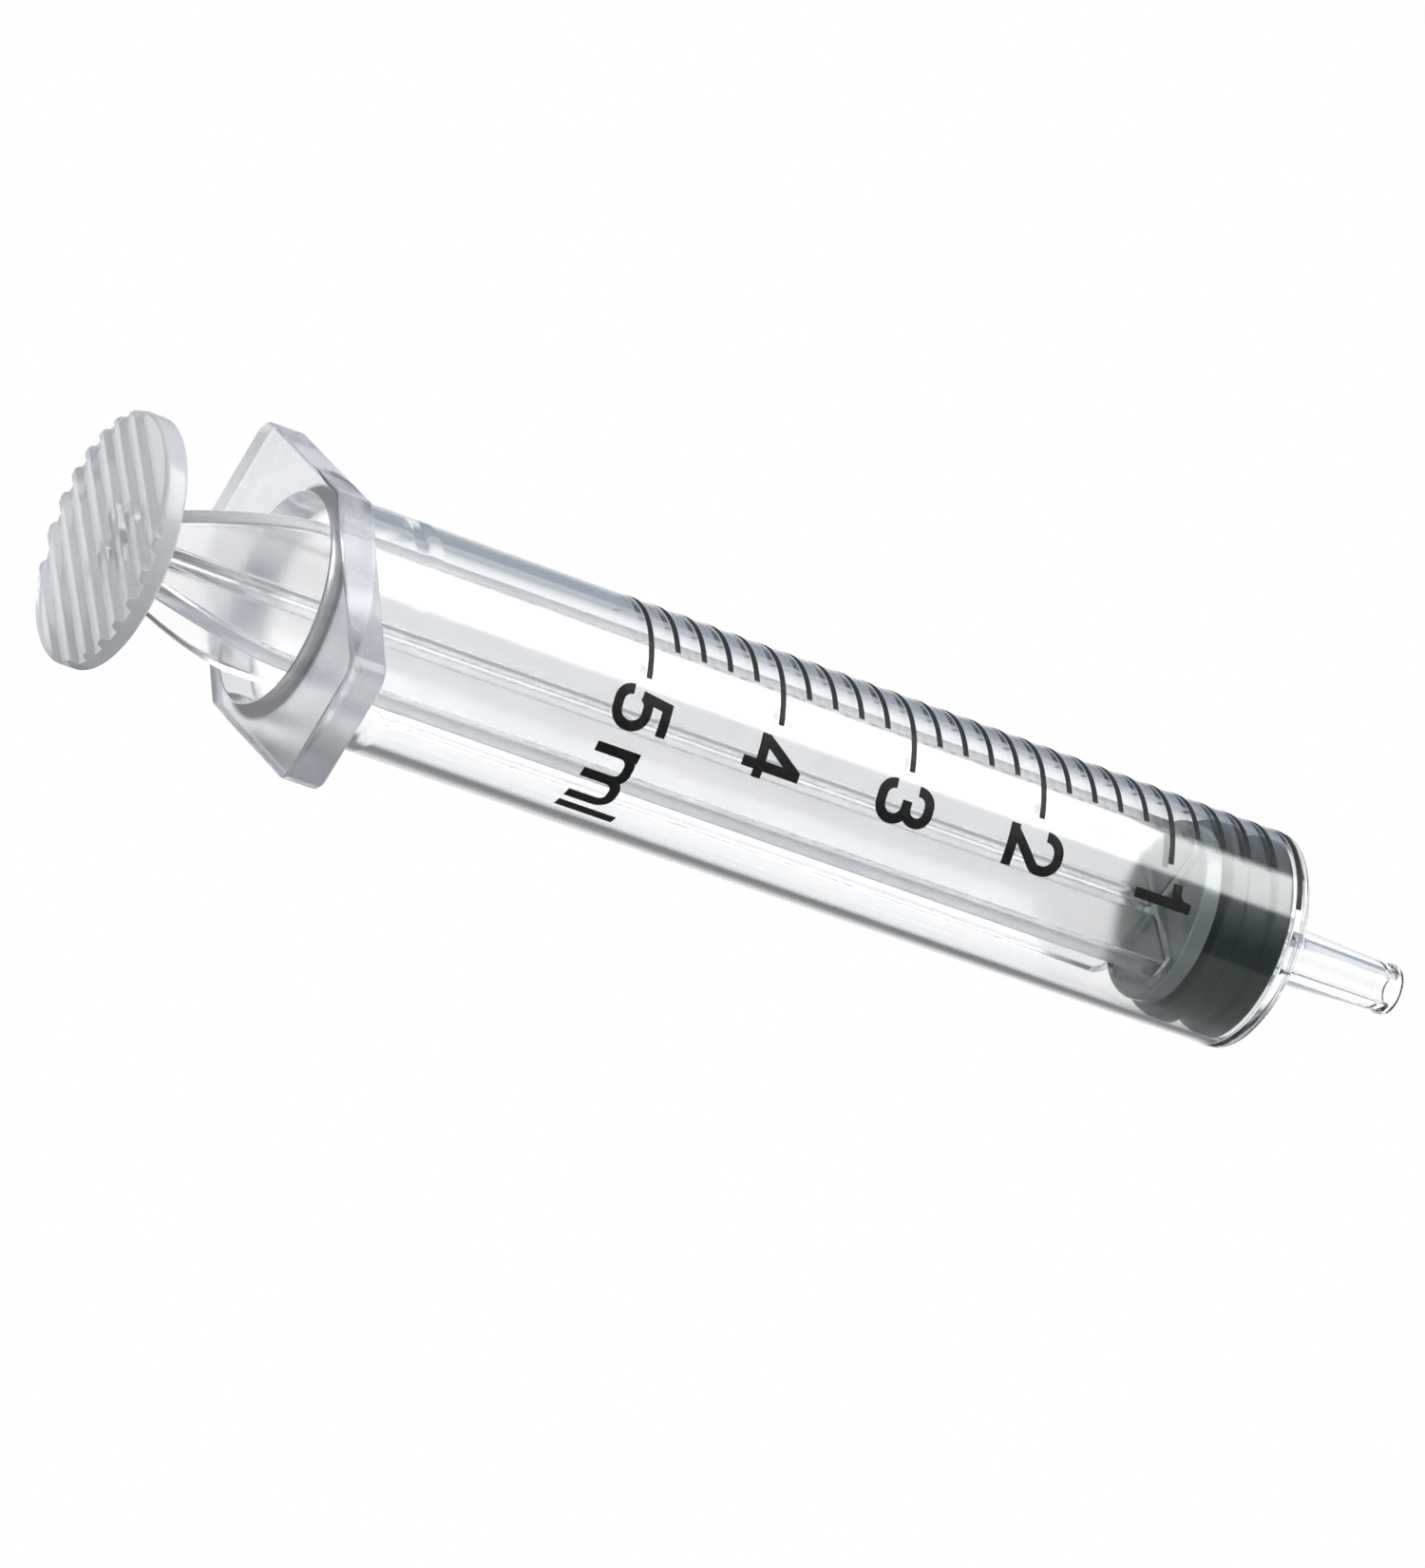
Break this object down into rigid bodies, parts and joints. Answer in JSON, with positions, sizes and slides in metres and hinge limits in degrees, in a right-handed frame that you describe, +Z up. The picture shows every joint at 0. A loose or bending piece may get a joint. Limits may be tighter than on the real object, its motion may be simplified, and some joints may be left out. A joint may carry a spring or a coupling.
{
  "type": "oral syringe",
  "caption": "Clear oral syringe with a slip nozzle, six-sided finger flange, black rubber stopper and a sliding, turning cross-ribbed plunger rod.",
  "frame": {"origin": "centre of the bounding box's underside: on the surface the syringe lies on, midway between nozzle tip and thumb rest", "axes": "+X along the barrel's axis towards the nozzle, +Y along the long way of the finger flange, +Z up"},
  "size_m": [0.0862, 0.0258, 0.0151],
  "materials": {
    "barrel_plastic": "clear, glossy",
    "rod_plastic": "natural, slightly milky",
    "stopper_rubber": "smooth, lubricated"
  },
  "bodies": {
    "barrel": {"barrel": "barrel_plastic"},
    "stopper": {"stopper": "stopper_rubber"},
    "plunger_rod": {"plunger_rod": "rod_plastic"}
  },
  "joints": [
    {"name": "plunger_slide", "type": "slide", "parent": "barrel", "child": "stopper", "axis": [-1, 0, 0], "range_m": [0, 0.0525]},
    {"name": "rod_swivel", "type": "hinge", "parent": "stopper", "child": "plunger_rod", "pos_m": [0, 0, 0.00756], "axis": [1, 0, 0], "continuous": true}
  ]
}
